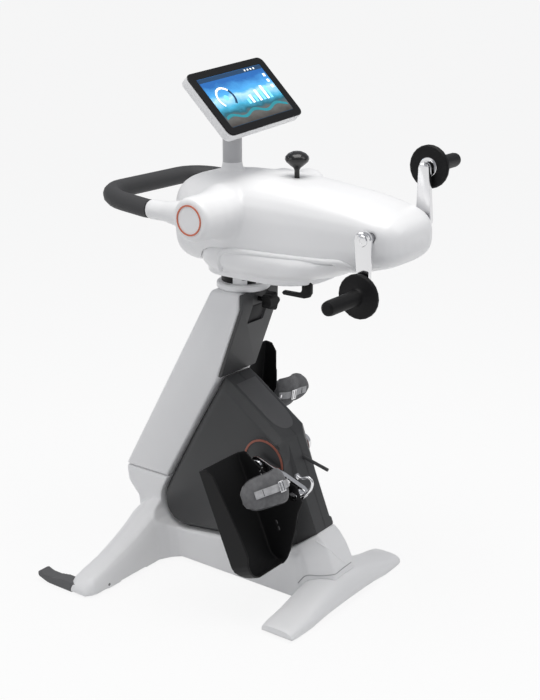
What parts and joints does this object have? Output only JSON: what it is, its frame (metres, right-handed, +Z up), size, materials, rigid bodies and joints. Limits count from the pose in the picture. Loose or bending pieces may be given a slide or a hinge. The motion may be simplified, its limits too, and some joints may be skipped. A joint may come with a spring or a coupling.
{
  "type": "rehabilitation exercise bike",
  "caption": "Floor-standing arm and leg trainer: foot shells on leg cranks, leaning column, swivelling head with hand cranks, loop handle and tilting display.",
  "frame": {"origin": "on the floor at the middle of the footprint", "axes": "+Z up, +X towards the user, -Y the side of the left pieces"},
  "size_m": [0.84, 0.738, 1.2542],
  "materials": {
    "white_abs": "moulded, satin white",
    "charcoal_abs": "moulded, dark grey",
    "black_plastic": "moulded, black",
    "grey_rubber": "soft touch, mid grey",
    "chrome": "polished",
    "steel": "plain steel",
    "orange_ring": "thin accent ring",
    "grey_pad": "padded cover",
    "light_webbing": "woven strap",
    "glass": "display panel, opaque",
    "rubber": "black rubber"
  },
  "bodies": {
    "base": {"base_cover": "white_abs", "column_cover": "white_abs", "column_panel": "charcoal_abs", "rear_foot": "white_abs", "housing_left": "charcoal_abs", "housing_right": "charcoal_abs", "front_shoe_left": "grey_rubber", "front_shoe_right": "grey_rubber", "front_pad_left": "rubber", "front_pad_right": "rubber", "rear_pad_left": "rubber", "rear_pad_right": "rubber", "leg_motor": "steel", "drive_belt": "rubber", "crank_ring_left": "orange_ring", "crank_ring_right": "orange_ring", "user_face_peg": "charcoal_abs"},
    "mast": {"mast_tube": "steel", "swivel_collar": "white_abs"},
    "head": {"turntable": "black_plastic", "head_upper_cover": "white_abs", "head_lower_cover": "white_abs", "arm_motor": "steel", "boss_ring_left": "orange_ring", "boss_ring_right": "orange_ring", "loop_grip": "grey_rubber", "screen_post": "white_abs"},
    "screen_yoke": {"screen_yoke": "charcoal_abs"},
    "screen": {"screen_back": "white_abs", "screen_bezel": "black_plastic", "screen_glass": "glass"},
    "arm_crank": {"arm_axle": "steel", "arm_crank_left": "chrome", "arm_crank_right": "chrome"},
    "grip_left": {"hand_grip_left": "black_plastic"},
    "grip_right": {"hand_grip_right": "black_plastic"},
    "push_knob": {"push_knob": "black_plastic"},
    "swivel_lever": {"swivel_lever": "black_plastic"},
    "height_knob": {"height_knob": "black_plastic"},
    "leg_crank": {"leg_axle": "steel", "leg_crank_left": "chrome", "leg_crank_right": "chrome"},
    "foot_left": {"foot_shell_left": "black_plastic", "instep_cuff_left": "grey_pad", "instep_strap_left": "light_webbing"},
    "foot_right": {"foot_shell_right": "black_plastic", "instep_cuff_right": "grey_pad", "instep_strap_right": "light_webbing"},
    "motor_pulley": {"motor_pulley": "steel"},
    "wheel_left": {"transport_wheel_left": "rubber"},
    "wheel_right": {"transport_wheel_right": "rubber"}
  },
  "joints": [
    {"name": "head_lift", "type": "slide", "parent": "base", "child": "mast", "axis": [0.4939, 0, 0.8695], "range_m": [0, 0.12]},
    {"name": "head_swivel", "type": "hinge", "parent": "mast", "child": "head", "pos_m": [-0.0525, 0, 0.785], "axis": [0, 0, 1], "range_deg": [0, 180]},
    {"name": "screen_turn", "type": "hinge", "parent": "head", "child": "screen_yoke", "pos_m": [-0.083, 0, 1.135], "axis": [0, 0, 1], "range_deg": [-60, 60]},
    {"name": "screen_tilt", "type": "hinge", "parent": "screen_yoke", "child": "screen", "pos_m": [-0.083, 0, 1.17], "axis": [-0.0031, 0.9972, 0.0752], "range_deg": [-30, 25]},
    {"name": "arm_crank_turn", "type": "hinge", "parent": "head", "child": "arm_crank", "pos_m": [0.358, 0, 0.927], "axis": [0, 1, 0], "continuous": true},
    {"name": "grip_left_turn", "type": "hinge", "parent": "arm_crank", "child": "grip_left", "pos_m": [0.36201, -0.139, 0.81207], "axis": [0, 1, 0], "continuous": true},
    {"name": "grip_right_turn", "type": "hinge", "parent": "arm_crank", "child": "grip_right", "pos_m": [0.35399, 0.139, 1.04193], "axis": [0, 1, 0], "continuous": true},
    {"name": "push_knob_press", "type": "slide", "parent": "head", "child": "push_knob", "axis": [0, 0, -1], "range_m": [0, 0.012], "stiffness_N_per_m": 400, "springref_m": -0.004},
    {"name": "swivel_lever_pull", "type": "hinge", "parent": "head", "child": "swivel_lever", "pos_m": [0.165, -0.05, 0.789], "axis": [0, 1, 0], "range_deg": [0, 12], "stiffness_Nm_per_rad": 0.6, "springref_deg": -4.58},
    {"name": "height_knob_turn", "type": "hinge", "parent": "base", "child": "height_knob", "pos_m": [0.012, 0, 0.7135], "axis": [1, 0, 0], "range_deg": [0, 540]},
    {"name": "leg_crank_turn", "type": "hinge", "parent": "base", "child": "leg_crank", "pos_m": [0.058, 0, 0.336], "axis": [0, 1, 0], "continuous": true},
    {"name": "motor_pulley_turn", "type": "hinge", "parent": "base", "child": "motor_pulley", "pos_m": [-0.12, 0, 0.235], "axis": [0, 1, 0], "continuous": true},
    {"name": "foot_left_tip", "type": "hinge", "parent": "leg_crank", "child": "foot_left", "pos_m": [0.18041, -0.112, 0.29858], "axis": [0, 1, 0], "continuous": true},
    {"name": "foot_right_tip", "type": "hinge", "parent": "leg_crank", "child": "foot_right", "pos_m": [-0.06441, 0.112, 0.37342], "axis": [0, 1, 0], "continuous": true},
    {"name": "wheel_left_roll", "type": "hinge", "parent": "base", "child": "wheel_left", "pos_m": [-0.352, -0.353, 0.0118], "axis": [0, 1, 0], "continuous": true},
    {"name": "wheel_right_roll", "type": "hinge", "parent": "base", "child": "wheel_right", "pos_m": [-0.352, 0.353, 0.0118], "axis": [0, 1, 0], "continuous": true}
  ],
  "couplings": [
    {"joint": "motor_pulley_turn", "follows": "leg_crank_turn", "ratio": 2.561}
  ]
}
